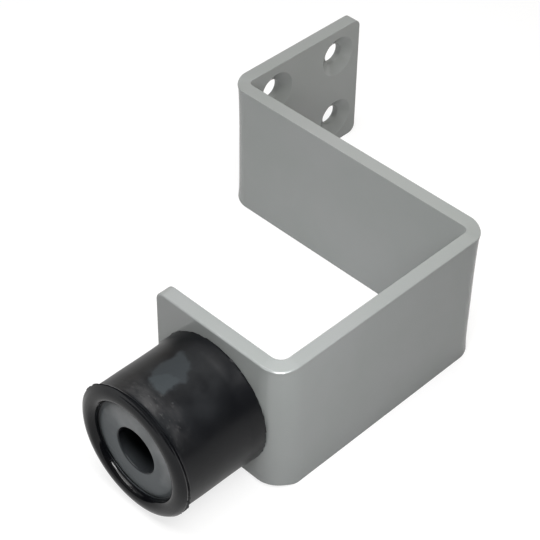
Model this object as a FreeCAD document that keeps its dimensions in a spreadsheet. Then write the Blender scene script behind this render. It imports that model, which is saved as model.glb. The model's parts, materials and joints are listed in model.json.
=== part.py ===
"""Wall door stop: a flat bar bent three times, with a round rubber buffer screwed to its end plate.

Millimetres, +Z up. The origin is the centre of the four wall holes, on the face that lies against
the wall. The wall is the plane Y = 0 and the stop stands out towards -Y. The buffer points to -X.
"""
import FreeCAD, Part
import math
import os

import Sketcher
from FreeCAD import Placement, Rotation, Vector

# Driving dimensions, all in millimetres apart from the one angle.
SIZES = {
    # The bar and its bends. Lengths run over the outside of the bends.
    "bar_width": 40.0,
    "bar_thickness": 4.0,
    "bend_inner_radius": 3.0,
    "flange_length": 49.0,
    "wall_projection": 89.5,
    "side_reach": 70.0,
    "plate_length": 41.5,
    "flange_corner_radius": 3.0,
    "plate_corner_radius": 2.5,
    # The four countersunk holes in the wall flange.
    "wall_hole_diameter": 6.2,
    "countersink_diameter": 12.4,
    "countersink_depth": 2.1,
    "hole_end_distance": 8.8,
    "hole_spacing_along": 25.0,
    "hole_spacing_up": 22.0,
    # The rubber buffer, on an axis square to the end plate. Its widths grow from the waist.
    "buffer_setback": 21.8,
    "buffer_drop": 1.0,
    "waist_diameter": 34.6,
    "base_flare": 0.4,
    "base_flare_height": 5.0,
    "lip_flare": 0.7,
    "lip_flare_height": 8.0,
    "face_height": 25.0,
    "lip_width": 6.0,
    "lip_height": 2.0,
    "lip_edge_rise": 0.5,
    "floor_thickness": 6.0,
    # The cap screw that holds the buffer, its washers and its lock nut.
    "screw_diameter": 6.0,
    "screw_clearance": 0.25,
    "screw_projection": 0.8,
    "screw_chamfer": 0.8,
    "head_diameter": 10.0,
    "head_height": 6.0,
    "head_chamfer": 0.5,
    "socket_flats": 5.0,
    "socket_depth": 3.0,
    "washer_diameter": 12.0,
    "washer_thickness": 1.6,
    "bore_clearance": 0.1,
    "nut_flats": 10.0,
    "nut_hex_height": 4.4,
    "nut_collar_height": 1.6,
    "nut_collar_wall": 0.6,
    "nut_chamfer_angle": 30.0,
    "ring_width": 1.2,
    "ring_clearance": 0.05,
    "thread_clearance": 0.05,
}

# Sizes that several pieces share, as formulas of the driving dimensions.
ORIGIN_INSET = "(sizes.flange_length - sizes.hole_end_distance - sizes.hole_spacing_along / 2)"
WAIST_RADIUS = "(sizes.waist_diameter / 2)"
BASE_RADIUS = "(sizes.waist_diameter / 2 + sizes.base_flare)"
LIP_RADIUS = "(sizes.waist_diameter / 2 + sizes.lip_flare)"
FACE_RADIUS = "(sizes.waist_diameter / 2 + sizes.lip_flare - sizes.lip_width)"
LIP_EDGE_HEIGHT = "(sizes.face_height + sizes.lip_edge_rise)"
SCREW_RADIUS = "(sizes.screw_diameter / 2)"
SCREW_HOLE_RADIUS = "(sizes.screw_diameter / 2 + sizes.screw_clearance)"
HEAD_RADIUS = "(sizes.head_diameter / 2)"
BORE_RADIUS = "(sizes.washer_diameter / 2 + sizes.bore_clearance)"
NUT_HEIGHT = "(sizes.nut_hex_height + sizes.nut_collar_height)"
NUT_BORE_RADIUS = "(sizes.screw_diameter / 2 + sizes.thread_clearance)"
RING_RADIUS = "(%s + sizes.ring_width)" % NUT_BORE_RADIUS
RING_SEAT_RADIUS = "(%s + sizes.ring_clearance)" % RING_RADIUS
COLLAR_RADIUS = "(%s + sizes.nut_collar_wall)" % RING_SEAT_RADIUS
BACK_SEAT = "(sizes.bar_thickness + sizes.washer_thickness)"
SHANK_LENGTH = "(sizes.floor_thickness + sizes.washer_thickness + %s + %s + sizes.screw_projection)" % (
    BACK_SEAT, NUT_HEIGHT)

doc = FreeCAD.newDocument("wall_door_stop")


def make_sheet():
    """Put every driving dimension into the spreadsheet, one named cell a row."""
    sheet = doc.addObject("Spreadsheet::Sheet", "sizes")
    for row, (alias, size) in enumerate(SIZES.items(), start=1):
        sheet.set("A%d" % row, alias)
        sheet.set("B%d" % row, "%g" % size)
        sheet.setAlias("B%d" % row, alias)
    doc.recompute()
    return sheet


sheet = make_sheet()


def number(formula):
    """Value of a formula of the sheet, for the first drawing of a sketch."""
    return float(sheet.evalExpression(formula))


def point(across, up):
    return Vector(number(across), number(up), 0)


def make_body(label):
    body = doc.addObject("PartDesign::Body", label)
    body.Label = label
    return body


def make_sketch(body, name, role, lift="0"):
    """Sketch on one of the body's own origin planes, lifted off it along its normal."""
    sketch = body.newObject("Sketcher::SketchObject", name)
    plane = [feature for feature in body.Origin.OriginFeatures if feature.Role == role][0]
    sketch.AttachmentSupport = [(plane, "")]
    sketch.MapMode = "FlatFace"
    sketch.setExpression("AttachmentOffset.Base.z", lift)
    return sketch


def bind(sketch, kind, *references, formula):
    """Dimension between sketch elements that follows a formula of the sheet."""
    index = sketch.addConstraint(Sketcher.Constraint(kind, *references, number(formula)))
    sketch.setExpression("Constraints[%d]" % index, formula)


def bind_point(sketch, element, end, across=None, up=None):
    """Hold a point at its distances from the sketch's origin. A zero puts it on the axis itself."""
    for formula, kind, axis in ((across, "DistanceX", -2), (up, "DistanceY", -1)):
        if formula == "0":
            sketch.addConstraint(Sketcher.Constraint("PointOnObject", element, end, axis))
        elif formula is not None:
            bind(sketch, kind, -1, 1, element, end, formula=formula)


def add_outline(sketch, corners, arcs=None):
    """Closed outline through corners, each a pair of formulas.

    arcs gives the middle point of each round stretch, by the number of the corner that it starts at.
    """
    arcs = arcs or {}
    count = len(corners)
    ends = []
    for index, corner in enumerate(corners):
        start = point(*corner)
        finish = point(*corners[(index + 1) % count])
        if index in arcs:
            middle = point(*arcs[index])
            leftwards = (middle - start).cross(finish - middle).z > 0
            # A sketch's arc always runs anticlockwise.
            first, last = (start, finish) if leftwards else (finish, start)
            sketch.addGeometry(Part.Arc(first, middle, last), False)
            ends.append((1, 2) if leftwards else (2, 1))
        else:
            sketch.addGeometry(Part.LineSegment(start, finish), False)
            ends.append((1, 2))
    for index in range(count):
        following = (index + 1) % count
        sketch.addConstraint(
            Sketcher.Constraint("Coincident", index, ends[index][1], following, ends[following][0]))
    for index, (across, up) in enumerate(corners):
        straight = index > 0 and index - 1 not in arcs
        if straight and across == corners[index - 1][0]:
            sketch.addConstraint(Sketcher.Constraint("Vertical", index - 1))
            across = None
        if straight and up == corners[index - 1][1]:
            sketch.addConstraint(Sketcher.Constraint("Horizontal", index - 1))
            up = None
        bind_point(sketch, index, ends[index][0], across, up)
    for index, middle in arcs.items():
        through = sketch.addGeometry(Part.Point(point(*middle)), True)
        bind_point(sketch, through, 1, *middle)
        sketch.addConstraint(Sketcher.Constraint("PointOnObject", through, 1, index))


def add_circle(sketch, radius, across="0", up="0"):
    circle = sketch.addGeometry(Part.Circle(point(across, up), Vector(0, 0, 1), number(radius)), False)
    bind_point(sketch, circle, 3, across, up)
    bind(sketch, "Radius", circle, formula=radius)


def add_hexagon(sketch, flats):
    """Regular hexagon about the sketch's origin, by its width across flats, with two upright sides."""
    corner_radius = "(%s / 2 / cos(30 deg))" % flats
    reach = number(corner_radius)
    corners = []
    for index in range(6):
        angle = math.radians(30 + 60 * index)
        corners.append(Vector(reach * math.cos(angle), reach * math.sin(angle), 0))
    for index in range(6):
        sketch.addGeometry(Part.LineSegment(corners[index], corners[(index + 1) % 6]), False)
    for index in range(6):
        sketch.addConstraint(Sketcher.Constraint("Coincident", index, 2, (index + 1) % 6, 1))
    for index in range(1, 6):
        sketch.addConstraint(Sketcher.Constraint("Equal", 0, index))
    circle = sketch.addGeometry(Part.Circle(Vector(0, 0, 0), Vector(0, 0, 1), reach), True)
    sketch.addConstraint(Sketcher.Constraint("Coincident", circle, 3, -1, 1))
    bind(sketch, "Radius", circle, formula=corner_radius)
    for index in range(6):
        sketch.addConstraint(Sketcher.Constraint("PointOnObject", index, 1, circle))
    sketch.addConstraint(Sketcher.Constraint("Vertical", 5))


def add_pad(body, sketch, name, length, both_ways=False):
    pad = body.newObject("PartDesign::Pad", name)
    pad.Profile = sketch
    pad.SideType = "Symmetric" if both_ways else "One side"
    pad.setExpression("Length", length)
    return pad


def add_pocket(body, sketch, name, depth, along_normal=False):
    """Cut against the sketch's normal, or along it."""
    pocket = body.newObject("PartDesign::Pocket", name)
    pocket.Profile = sketch
    pocket.Reversed = along_normal
    pocket.setExpression("Length", depth)
    return pocket


def add_turned(body, kind, sketch, name):
    """Turn a half section about its sketch's upright axis."""
    turned = body.newObject("PartDesign::" + kind, name)
    turned.Profile = sketch
    turned.ReferenceAxis = (sketch, ["V_Axis"])
    turned.Angle = 360
    return turned


def add_fillet(body, name, edges_of, test, radius):
    """Round the straight edges of the last feature whose middle passes the test."""
    doc.recompute()
    names = []
    for index, edge in enumerate(edges_of.Shape.Edges, start=1):
        if edge.Curve.TypeId == "Part::GeomLine" and test(edge, edge.CenterOfMass):
            names.append("Edge%d" % index)
    fillet = body.newObject("PartDesign::Fillet", name)
    fillet.Base = (edges_of, names)
    fillet.setExpression("Radius", radius)
    return fillet


def stand_on_axis(body, height):
    """Put a round piece on the buffer's axis, its own Z pointing away from the end plate.

    height is the place of its own origin, counted from the plate's outer face.
    """
    body.Placement = Placement(Vector(0, 0, 0), Rotation(Vector(0, 1, 0), -90))
    body.setExpression("Placement.Base.x", "-sizes.side_reach - %s - (%s)" % (ORIGIN_INSET, height))
    body.setExpression("Placement.Base.y", "sizes.buffer_setback - sizes.wall_projection")
    body.setExpression("Placement.Base.z", "-sizes.buffer_drop")


def make_bracket():
    """Flat bar on edge: wall flange, long arm out from the wall, cross arm and end plate."""
    body = make_body("bracket")
    body.setExpression("Placement.Base.x", "-" + ORIGIN_INSET)
    arm_face = "sizes.bar_thickness"
    room_face = "-sizes.bar_thickness"
    cross_arm_front = "-sizes.wall_projection"
    cross_arm_back = "(sizes.bar_thickness - sizes.wall_projection)"
    plate_front = "-sizes.side_reach"
    plate_back = "(sizes.bar_thickness - sizes.side_reach)"
    plate_end = "(sizes.plate_length - sizes.wall_projection)"
    plan = make_sketch(body, "bar_plan", "XY_Plane")
    add_outline(plan, [
        ("0", "0"),
        ("sizes.flange_length", "0"),
        ("sizes.flange_length", room_face),
        (arm_face, room_face),
        (arm_face, cross_arm_front),
        (plate_front, cross_arm_front),
        (plate_front, plate_end),
        (plate_back, plate_end),
        (plate_back, cross_arm_back),
        ("0", cross_arm_back),
    ])
    bar = add_pad(body, plan, "bar", "sizes.bar_width", both_ways=True)

    def at_corner(corners):
        places = [point(*corner) for corner in corners]

        def test(edge, middle):
            flat = Vector(middle.x, middle.y, 0)
            upright = abs(middle.z) < 1e-6 and edge.BoundBox.ZLength > 1
            return upright and any(flat.isEqual(place, 1e-6) for place in places)
        return test

    inner = at_corner([(arm_face, room_face), ("0", cross_arm_back), (plate_back, cross_arm_back)])
    outer = at_corner([("0", "0"), (arm_face, cross_arm_front), (plate_front, cross_arm_front)])
    insides = add_fillet(body, "bend_insides", bar, inner, "sizes.bend_inner_radius")
    outsides = add_fillet(
        body, "bend_outsides", insides, outer, "sizes.bend_inner_radius + sizes.bar_thickness")
    flange_end = number("sizes.flange_length")
    plate_top = number(plate_end)
    flange_corners = add_fillet(
        body, "flange_corners", outsides,
        lambda edge, middle: abs(middle.x - flange_end) < 1e-6 and edge.BoundBox.YLength > 1,
        "sizes.flange_corner_radius")
    plate_corners = add_fillet(
        body, "plate_corners", flange_corners,
        lambda edge, middle: abs(middle.y - plate_top) < 1e-6 and edge.BoundBox.XLength > 1,
        "sizes.plate_corner_radius")
    doc.recompute()

    centres = make_sketch(body, "wall_hole_centres", "XZ_Plane", lift="sizes.bar_thickness")
    last_column = "sizes.flange_length - sizes.hole_end_distance"
    for across in (last_column, last_column + " - sizes.hole_spacing_along"):
        for up in ("sizes.hole_spacing_up / 2", "-sizes.hole_spacing_up / 2"):
            add_circle(centres, "(sizes.wall_hole_diameter / 2)", across, up)
    doc.recompute()
    holes = body.newObject("PartDesign::Hole", "wall_holes")
    holes.Profile = centres
    holes.DepthType = "ThroughAll"
    holes.setExpression("Diameter", "sizes.wall_hole_diameter")
    holes.HoleCutType = "Countersink"
    holes.HoleCutCustomValues = True
    holes.setExpression("HoleCutDiameter", "sizes.countersink_diameter")
    holes.setExpression(
        "HoleCutCountersinkAngle",
        "2 * atan((sizes.countersink_diameter - sizes.wall_hole_diameter) / 2 / sizes.countersink_depth)")
    doc.recompute()

    plate_hole = make_sketch(body, "buffer_screw_hole_centre", "YZ_Plane", lift=plate_front)
    add_circle(
        plate_hole, SCREW_HOLE_RADIUS, "sizes.buffer_setback - sizes.wall_projection", "-sizes.buffer_drop")
    add_pocket(body, plate_hole, "buffer_screw_hole", "sizes.bar_thickness", along_normal=True)
    return body


def make_rubber_buffer():
    """Moulded buffer: waisted body, rounded lip about a flat face, and a bore for the screw's head."""
    body = make_body("rubber_buffer")
    stand_on_axis(body, "0")
    section = make_sketch(body, "half_section", "XZ_Plane")
    lip_flare_start = "(sizes.face_height - sizes.lip_flare_height)"
    add_outline(
        section,
        [
            (SCREW_HOLE_RADIUS, "0"),
            (BASE_RADIUS, "0"),
            (WAIST_RADIUS, "sizes.base_flare_height"),
            (WAIST_RADIUS, lip_flare_start),
            (LIP_RADIUS, LIP_EDGE_HEIGHT),
            (FACE_RADIUS, "sizes.face_height"),
            (BORE_RADIUS, "sizes.face_height"),
            (BORE_RADIUS, "sizes.floor_thickness"),
            (SCREW_HOLE_RADIUS, "sizes.floor_thickness"),
        ],
        arcs={
            # A flare is an arc that leaves the waist along it: a quarter of its growth by halfway.
            1: (WAIST_RADIUS + " + sizes.base_flare / 4", "sizes.base_flare_height / 2"),
            3: (WAIST_RADIUS + " + sizes.lip_flare / 4",
                "(%s + %s) / 2" % (lip_flare_start, LIP_EDGE_HEIGHT)),
            # The lip's crest is over the middle of its width.
            4: (LIP_RADIUS + " - sizes.lip_width / 2", "sizes.face_height + sizes.lip_height"),
        })
    add_turned(body, "Revolution", section, "turned_body")
    return body


def make_washer(label, height):
    body = make_body(label)
    stand_on_axis(body, height)
    face = make_sketch(body, label + "_face", "XY_Plane")
    add_circle(face, "(sizes.washer_diameter / 2)")
    add_circle(face, SCREW_HOLE_RADIUS)
    add_pad(body, face, label + "_disc", "sizes.washer_thickness")
    return body


def make_buffer_screw():
    """Cap screw. Its own origin is under the head."""
    body = make_body("buffer_screw")
    stand_on_axis(body, "sizes.floor_thickness + sizes.washer_thickness")
    section = make_sketch(body, "screw_half_section", "XZ_Plane")
    tip = "-" + SHANK_LENGTH
    add_outline(section, [
        ("0", tip),
        (SCREW_RADIUS + " - sizes.screw_chamfer", tip),
        (SCREW_RADIUS, tip + " + sizes.screw_chamfer"),
        (SCREW_RADIUS, "0"),
        (HEAD_RADIUS, "0"),
        (HEAD_RADIUS, "sizes.head_height - sizes.head_chamfer"),
        (HEAD_RADIUS + " - sizes.head_chamfer", "sizes.head_height"),
        ("0", "sizes.head_height"),
    ])
    add_turned(body, "Revolution", section, "turned_screw")
    socket = make_sketch(body, "socket_hexagon", "XY_Plane", lift="sizes.head_height")
    add_hexagon(socket, "sizes.socket_flats")
    add_pocket(body, socket, "hex_socket", "sizes.socket_depth")
    return body


def make_lock_nut():
    """Hexagon nut with a collar for the nylon ring. Its own origin is at the collar's free end."""
    body = make_body("lock_nut")
    stand_on_axis(body, "-%s - %s" % (BACK_SEAT, NUT_HEIGHT))
    hexagon = make_sketch(body, "nut_hexagon", "XY_Plane", lift="sizes.nut_collar_height")
    add_hexagon(hexagon, "sizes.nut_flats")
    add_pad(body, hexagon, "hexagon", "sizes.nut_hex_height")
    collar = make_sketch(body, "collar_circle", "XY_Plane")
    add_circle(collar, COLLAR_RADIUS)
    add_pad(body, collar, "collar", "sizes.nut_collar_height")
    bore = make_sketch(body, "nut_bore_circle", "XY_Plane")
    add_circle(bore, NUT_BORE_RADIUS)
    add_pocket(body, bore, "nut_bore", NUT_HEIGHT, along_normal=True)
    seat = make_sketch(body, "ring_seat_circle", "XY_Plane")
    add_circle(seat, RING_SEAT_RADIUS)
    add_pocket(body, seat, "ring_seat", "sizes.nut_collar_height", along_normal=True)
    corners = make_sketch(body, "nut_corner_section", "XZ_Plane")
    flat_radius = "(sizes.nut_flats / 2)"
    past_corner = "(sizes.nut_flats / 2 / cos(30 deg) * 1.02)"
    fall = "((%s - %s) * tan(sizes.nut_chamfer_angle * 1 deg))" % (past_corner, flat_radius)
    add_outline(corners, [
        (flat_radius, NUT_HEIGHT),
        (past_corner, NUT_HEIGHT + " - " + fall),
        (past_corner, NUT_HEIGHT),
    ])
    add_turned(body, "Groove", corners, "nut_corner_chamfer")
    return body


def make_nut_ring():
    """Nylon ring in the lock nut's collar."""
    body = make_body("nut_ring")
    stand_on_axis(body, "-%s - %s" % (BACK_SEAT, NUT_HEIGHT))
    face = make_sketch(body, "ring_face", "XY_Plane")
    add_circle(face, RING_RADIUS)
    add_circle(face, NUT_BORE_RADIUS)
    add_pad(body, face, "ring", "sizes.nut_collar_height")
    return body


def check_document(bodies):
    """Stop before anything is written if a feature failed or a cut removed nothing."""
    doc.recompute()
    for item in doc.Objects:
        if "Invalid" in item.State or "Error" in item.State:
            raise RuntimeError("%s failed: %s" % (item.Name, item.State))
        if item.TypeId in ("PartDesign::Pocket", "PartDesign::Groove", "PartDesign::Hole"):
            if item.Shape.Volume > item.BaseFeature.Shape.Volume - 0.1:
                raise RuntimeError(item.Name + " cuts nothing")
    for body in bodies:
        if body.Shape.isNull() or not body.Shape.isValid() or len(body.Shape.Solids) != 1:
            raise RuntimeError(body.Label + " is not one valid solid")


def write_parts(bodies):
    os.makedirs("parts", exist_ok=True)
    for body in bodies:
        body.Shape.exportStep("parts/%s.step" % body.Label)
        print("%s: volume %.1f mm3" % (body.Label, body.Shape.Volume))


bodies = [
    make_bracket(),
    make_rubber_buffer(),
    make_washer("bore_washer", "sizes.floor_thickness"),
    make_washer("back_washer", "-" + BACK_SEAT),
    make_buffer_screw(),
    make_lock_nut(),
    make_nut_ring(),
]
check_document(bodies)
write_parts(bodies)
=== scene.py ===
"""Looks of a wall door stop: a powder-coated bar bent three times, with a black rubber buffer.

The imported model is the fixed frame. Lengths below are millimetres unless a name says otherwise,
and finished meshes are metres. The floor is the plane under the bar's lower edge.
"""

import json
import math

import bmesh
import bpy
import numpy as np
from mathutils import Matrix, Vector


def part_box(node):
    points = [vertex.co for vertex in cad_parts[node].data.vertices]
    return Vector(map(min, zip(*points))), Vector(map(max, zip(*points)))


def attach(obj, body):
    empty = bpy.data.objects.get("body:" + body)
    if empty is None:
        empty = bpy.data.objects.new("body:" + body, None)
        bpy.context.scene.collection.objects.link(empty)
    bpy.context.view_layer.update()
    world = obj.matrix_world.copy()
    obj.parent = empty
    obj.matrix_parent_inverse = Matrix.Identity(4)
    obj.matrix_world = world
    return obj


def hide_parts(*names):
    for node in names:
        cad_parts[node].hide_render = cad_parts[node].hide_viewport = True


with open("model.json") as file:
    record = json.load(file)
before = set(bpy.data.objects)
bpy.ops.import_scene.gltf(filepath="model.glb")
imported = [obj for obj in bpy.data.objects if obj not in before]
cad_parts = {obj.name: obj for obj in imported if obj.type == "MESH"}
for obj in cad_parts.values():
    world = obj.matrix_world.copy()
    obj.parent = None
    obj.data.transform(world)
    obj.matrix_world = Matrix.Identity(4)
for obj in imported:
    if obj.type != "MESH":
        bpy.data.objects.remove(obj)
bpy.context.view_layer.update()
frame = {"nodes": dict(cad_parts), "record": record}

MM = 0.001
# Points closer than this are one point, and what is this near to a plane lies in it.
MERGE_DISTANCE = 0.001
NEAR = 0.01
# An edge is sharp if its faces turn by more than the first angle, and flat if by less than the second.
SHARP_EDGE = math.radians(25)
FLAT_ANGLE = math.radians(1)


def node_box(name):
    low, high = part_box(name)
    return low / MM, high / MM


BAR_LOW, BAR_HIGH = node_box("bracket")
RUBBER_LOW, _ = node_box("rubber_buffer")
WASHER_LOW, WASHER_HIGH = node_box("bore_washer")
SCREW_LOW, SCREW_HIGH = node_box("buffer_screw")
WALL_BOLTS = frame["record"]["mounts"][0]["dims"]

# The bar, seen from above. Its wall face is the plane y = 0.
BAR_THICKNESS = 4.0
SIDE_REACH = 70.0
PLATE_LENGTH = 41.5
HALF_WIDTH = BAR_HIGH.z
ARM_X = BAR_LOW.x + SIDE_REACH
FLANGE_CORNER = 2.5
PLATE_CORNER = 2.5
# The coat rounds the bar's edges a little, and more on the outer side of the last bend and plate.
COAT_ROUNDING = 0.2
OUTER_ROUNDING = 0.47
# It grows from one to the other over this share of the last bend.
ROUNDING_GROWTH = 0.3

# A press bend draws the bar's edges out: the outside is tighter there than at mid width, and dips.
BEND_OUTER_MID = 7.8
BEND_OUTER_EDGE = 7.1
BEND_INNER = (1.9, 1.9, 2.9)
FLARE_WIDTH_TOP = 12.0
FLARE_WIDTH_BOTTOM = 5.0
FLARE_CURVE = 1.2
FLARE_LIP = 0.45
FLARE_LIP_WIDTH = 1.5
BEND_DIP_TOP = (0.45, 0.45, 0.45)
BEND_DIP_BOTTOM = (0.25, 0.25, 0.1)
DIP_WIDTH = 2.8
# The press flattened the last bend's upper outer edge: the share of its rounding that it took off, and
# how far the flat it left leans back. It starts and fades at these shares of the bend's turn.
PRESSED_EDGE = 0.93
PRESSED_LEAN = math.radians(49)
PRESSED_START = 0.3
PRESSED_FADE_IN = 0.15
PRESSED_FADE_OUT = 0.1
# The end plate came out of the last bend slightly narrow: its lower edge stands this much higher, and
# rises so far over this share of the bend's turn.
PLATE_RISE = 0.7
PLATE_RISE_SHARE = 0.42
BEND_REACH_OUTER = 9.0
BEND_REACH_INNER = BEND_REACH_OUTER - BAR_THICKNESS
BEND_STRETCH = 15.0
BEND_LEAD = 0.12
BEND_STEPS = 28
LEVELS = (0.0, 6.0, 12.0, 16.0, 17.4, 18.4, 19.1, 20.0)

# The wall holes.
HOLE_END_DISTANCE = 8.8
HOLE_RADIUS = WALL_BOLTS["hole_r_mm"]
COUNTERSINK_RADIUS = 6.2
COUNTERSINK_DEPTH = 2.1
SCREW_HOLE_RADIUS = 3.25
HOLE_SIDES = 96
# How far the cutters stand out of the bar.
CUTTER_OVERSHOOT = 0.5

# The buffer. Heights run along its axis, from the end plate's outer face.
PLATE_FACE = BAR_LOW.x
AXIS_Y = (WASHER_LOW.y + WASHER_HIGH.y) / 2
AXIS_Z = (WASHER_LOW.z + WASHER_HIGH.z) / 2
CREST_HEIGHT = PLATE_FACE - RUBBER_LOW.x
DISC_HEIGHT = 25.0
BORE_RADIUS = 6.1
BORE_FLOOR = 6.0

floor_level = BAR_LOW.z


def linear(hex_colour):
    """sRGB hex value as a linear colour with alpha."""
    parts = [int(hex_colour[i:i + 2], 16) / 255 for i in (0, 2, 4)]
    return [p / 12.92 if p <= 0.04045 else ((p + 0.055) / 1.055) ** 2.4 for p in parts] + [1.0]


def add(tree, kind, inputs=(), **settings):
    """Node of a kind with its settings. Each input is a plain value, or an output to link from."""
    made = tree.nodes.new(kind)
    for name, value in settings.items():
        setattr(made, name, value)
    named = inputs if isinstance(inputs, dict) else dict(enumerate(inputs))
    for key, value in named.items():
        if isinstance(value, bpy.types.Node):
            value = value.outputs[0]
        if isinstance(value, bpy.types.NodeSocket):
            tree.links.new(value, made.inputs[key])
        else:
            made.inputs[key].default_value = value
    return made


# Camera. Its place and lens were worked out from the bar's straight edges in the photograph.

CAMERA_LENS = 112.734
CAMERA_PLACE = Vector((-287.833, -270.833, 290.755))
CAMERA_TARGET = Vector((-57.476, -46.369, 0.0))
CAMERA_ROLL = math.radians(-0.9456)


def make_camera():
    """Camera where the photograph was taken from, aimed at the middle of the stop."""
    camera = bpy.data.objects.new("camera", bpy.data.cameras.new("camera"))
    bpy.context.scene.collection.objects.link(camera)
    camera.data.lens = CAMERA_LENS
    camera.data.sensor_width = 36.0
    camera.data.clip_start = 0.02
    camera.data.clip_end = 20.0
    aim = (CAMERA_TARGET - CAMERA_PLACE).to_track_quat("-Z", "Y").to_matrix().to_4x4()
    roll = Matrix.Rotation(-CAMERA_ROLL, 4, "Z")
    camera.matrix_world = Matrix.Translation(CAMERA_PLACE * MM) @ aim @ roll
    bpy.context.scene.camera = camera


# Geometry helpers


def new_piece(name, mesh):
    piece = bpy.data.objects.new(name, mesh)
    bpy.context.scene.collection.objects.link(piece)
    return piece


def apply_modifiers(piece):
    """Give the piece the plain mesh that its modifiers make, and take them off."""
    depsgraph = bpy.context.evaluated_depsgraph_get()
    mesh = bpy.data.meshes.new_from_object(piece.evaluated_get(depsgraph))
    piece.modifiers.clear()
    piece.data = mesh


def new_tree(name, sizes):
    """Geometry node tree with one named input for each size."""
    tree = bpy.data.node_groups.new(name, "GeometryNodeTree")
    tree.is_modifier = True
    tree.interface.new_socket("Geometry", in_out="OUTPUT", socket_type="NodeSocketGeometry")
    tree.interface.new_socket("Geometry", in_out="INPUT", socket_type="NodeSocketGeometry")
    for label, size in sizes.items():
        kind = "NodeSocketInt" if isinstance(size, int) else "NodeSocketFloat"
        tree.interface.new_socket(label, in_out="INPUT", socket_type=kind)
    return tree, tree.nodes.new("NodeGroupInput").outputs


def end_tree(tree, geometry, material):
    """Close a tree: real geometry, its material, and the output."""
    real = add(tree, "GeometryNodeRealizeInstances", {"Geometry": geometry})
    painted = add(tree, "GeometryNodeSetMaterial", {"Geometry": real, "Material": material})
    add(tree, "NodeGroupOutput", {"Geometry": painted})


def grow(piece, tree, sizes):
    """Run a tree on the piece with these sizes, and keep the result as its plain mesh."""
    modifier = piece.modifiers.new(tree.name, "NODES")
    modifier.node_group = tree
    for label, size in sizes.items():
        modifier[tree.interface.items_tree[label].identifier] = size
    apply_modifiers(piece)


def tidy_mesh(mesh, join_planes=False):
    """Merge doubles and turn every face outwards. join_planes also joins the faces of one plane."""
    work = bmesh.new()
    work.from_mesh(mesh)
    bmesh.ops.remove_doubles(work, verts=work.verts, dist=MERGE_DISTANCE)
    if join_planes:
        bmesh.ops.dissolve_limit(work, angle_limit=FLAT_ANGLE, verts=work.verts, edges=work.edges)
    bmesh.ops.recalc_face_normals(work, faces=work.faces)
    work.to_mesh(mesh)
    work.free()


def weigh_normals(piece):
    """Smooth shading in which flat faces stay flat right up to their rounded edges."""
    piece.data.shade_smooth()
    weighing = piece.modifiers.new("weighted_normals", "WEIGHTED_NORMAL")
    weighing.weight = 60
    weighing.keep_sharp = True
    apply_modifiers(piece)


def settle(piece, slot, *nodes):
    """Put a finished piece on the part: it rides on the one body and stands for its nodes."""
    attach(piece, "root")
    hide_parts(*nodes)


# The bent bar


def bend_starts():
    """Where each bend's stretch starts on the flat blank, from the flange's free end."""
    flange = BAR_HIGH.x - ARM_X - BEND_REACH_OUTER
    arm = -BAR_LOW.y - 2 * BEND_REACH_OUTER
    cross_arm = SIDE_REACH + BAR_THICKNESS - 2 * BEND_REACH_OUTER
    starts = [flange]
    for straight in (arm, cross_arm):
        starts.append(starts[-1] + BEND_STRETCH + straight)
    return starts


BEND_STARTS = bend_starts()
BLANK_LENGTH = BEND_STARTS[2] + BEND_STRETCH + PLATE_LENGTH - BEND_REACH_OUTER


def bend_stations(start):
    """Places of one bend's stretch where the blank is divided."""
    shares = np.linspace(BEND_LEAD, 1 - BEND_LEAD, BEND_STEPS + 1)
    return [start + BEND_STRETCH * share for share in shares]


def rounded_end(across, direction, radius, steps=12):
    """Outline of a free end with rounded corners, from its upper corner to its lower one."""
    points = []
    for middle, first in ((HALF_WIDTH - radius, 90), (radius - HALF_WIDTH, 0)):
        for step in range(steps + 1):
            angle = math.radians(first - 90 * step / steps)
            points.append((across + direction * radius * (math.cos(angle) - 1),
                           middle + radius * math.sin(angle)))
    return points


def flat_blank():
    """The bar before it is bent: x along it, y through it from the wall side, z across it."""
    levels = [-level for level in reversed(LEVELS[1:])] + list(LEVELS)
    columns = [bend_stations(start) for start in BEND_STARTS]
    flange_end = rounded_end(0.0, -1, FLANGE_CORNER)
    plate_end = rounded_end(BLANK_LENGTH, 1, PLATE_CORNER)
    work = bmesh.new()
    outlines = []
    for depth in (0.0, BAR_THICKNESS):
        grids = [[[work.verts.new((x, depth, z)) for z in levels] for x in bend] for bend in columns]
        ends = [[work.verts.new((x, depth, z)) for x, z in end] for end in (flange_end, plate_end)]
        for grid in grids:
            for left, right in zip(grid, grid[1:]):
                for low in range(len(levels) - 1):
                    work.faces.new((left[low], right[low], right[low + 1], left[low + 1]))
        work.faces.new(ends[0][::-1] + grids[0][0][::-1])
        work.faces.new(grids[0][-1] + grids[1][0][::-1])
        work.faces.new(grids[1][-1] + grids[2][0][::-1])
        work.faces.new(grids[2][-1] + ends[1])
        lower = [column[0] for grid in grids for column in grid]
        upper = [column[-1] for grid in grids for column in grid]
        outlines.append(lower + ends[1][::-1] + upper[::-1] + ends[0])
    near, far = outlines
    for index in range(len(near)):
        after = (index + 1) % len(near)
        work.faces.new((near[index], near[after], far[after], far[index]))
    bmesh.ops.recalc_face_normals(work, faces=work.faces)
    mesh = bpy.data.meshes.new("flat_blank")
    work.to_mesh(mesh)
    work.free()
    return mesh


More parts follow.
